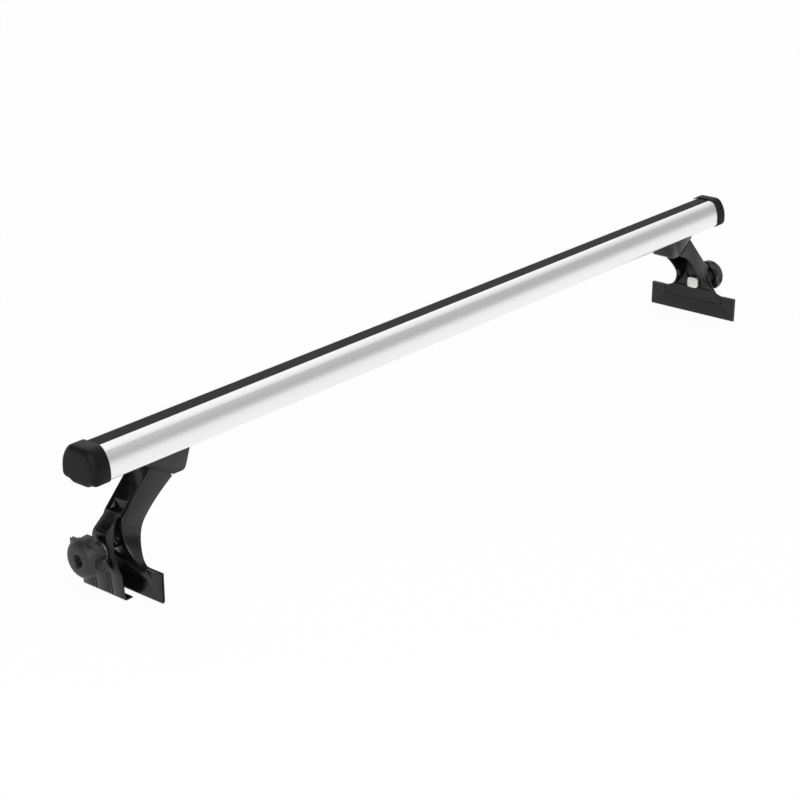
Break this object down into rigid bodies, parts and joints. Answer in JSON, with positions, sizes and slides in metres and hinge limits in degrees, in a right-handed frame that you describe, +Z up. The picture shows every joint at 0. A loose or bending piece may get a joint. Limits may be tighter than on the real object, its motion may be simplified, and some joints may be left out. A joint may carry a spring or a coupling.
{
  "type": "roof rack crossbar",
  "caption": "Aluminium roof rack crossbar with a rubber strip, end caps, and steel gutter feet with knob-tightened clamps.",
  "frame": {"origin": "midway between the two feet, level with the underside of the clamp lips", "axes": "+X along the bar, +Y along the car, +Z up"},
  "size_m": [1.4854, 0.165, 0.2049],
  "materials": {
    "bar": "satin",
    "strip": "matte",
    "cap": "matte",
    "foot": "gloss black",
    "knob": "matte",
    "fastener": "zinc plated",
    "nut": "matte"
  },
  "bodies": {
    "bar": {"crossbar": "bar", "top_strip": "strip", "left_end_cap": "cap", "right_end_cap": "cap"},
    "left_foot": {"left_saddle": "foot", "left_slot_plate": "fastener", "left_bar_bolts": "fastener", "left_bar_washers": "fastener", "left_leg": "foot", "left_square_nut": "nut"},
    "left_clamp": {"left_clamp": "foot"},
    "left_washer": {"left_thrust_washer": "fastener"},
    "left_knob": {"left_knob": "knob", "left_knob_screw": "fastener"},
    "right_foot": {"right_saddle": "foot", "right_slot_plate": "fastener", "right_bar_bolts": "fastener", "right_bar_washers": "fastener", "right_leg": "foot", "right_square_nut": "nut"},
    "right_clamp": {"right_clamp": "foot"},
    "right_washer": {"right_thrust_washer": "fastener"},
    "right_knob": {"right_knob": "knob", "right_knob_screw": "fastener"}
  },
  "joints": [
    {"name": "left_foot_slide", "type": "slide", "parent": "bar", "child": "left_foot", "axis": [1, 0, 0], "range_m": [-0.05, 0.2]},
    {"name": "left_clamp_swing", "type": "hinge", "parent": "left_foot", "child": "left_clamp", "pos_m": [-0.6799, 0, 0.1005], "axis": [0, 1, 0], "range_deg": [0, 6.2]},
    {"name": "left_screw_travel", "type": "slide", "parent": "left_foot", "child": "left_washer", "axis": [-1, 0, 0], "range_m": [0, 0.0063]},
    {"name": "left_knob_turn", "type": "hinge", "parent": "left_washer", "child": "left_knob", "pos_m": [-0.7077, 0, 0.0582], "axis": [-1, 0, 0], "range_deg": [0, 1800]},
    {"name": "right_foot_slide", "type": "slide", "parent": "bar", "child": "right_foot", "axis": [1, 0, 0], "range_m": [-0.2, 0.05]},
    {"name": "right_clamp_swing", "type": "hinge", "parent": "right_foot", "child": "right_clamp", "pos_m": [0.6799, 0, 0.1005], "axis": [0, -1, 0], "range_deg": [0, 6.2]},
    {"name": "right_screw_travel", "type": "slide", "parent": "right_foot", "child": "right_washer", "axis": [1, 0, 0], "range_m": [0, 0.0063]},
    {"name": "right_knob_turn", "type": "hinge", "parent": "right_washer", "child": "right_knob", "pos_m": [0.7077, 0, 0.0582], "axis": [1, 0, 0], "range_deg": [0, 1800]}
  ],
  "couplings": [
    {"joint": "left_screw_travel", "follows": "left_knob_turn", "m_per_rad": 0.00019894},
    {"joint": "left_clamp_swing", "follows": "left_knob_turn", "ratio": 0.003366},
    {"joint": "right_screw_travel", "follows": "right_knob_turn", "m_per_rad": 0.00019894},
    {"joint": "right_clamp_swing", "follows": "right_knob_turn", "ratio": 0.003366}
  ]
}
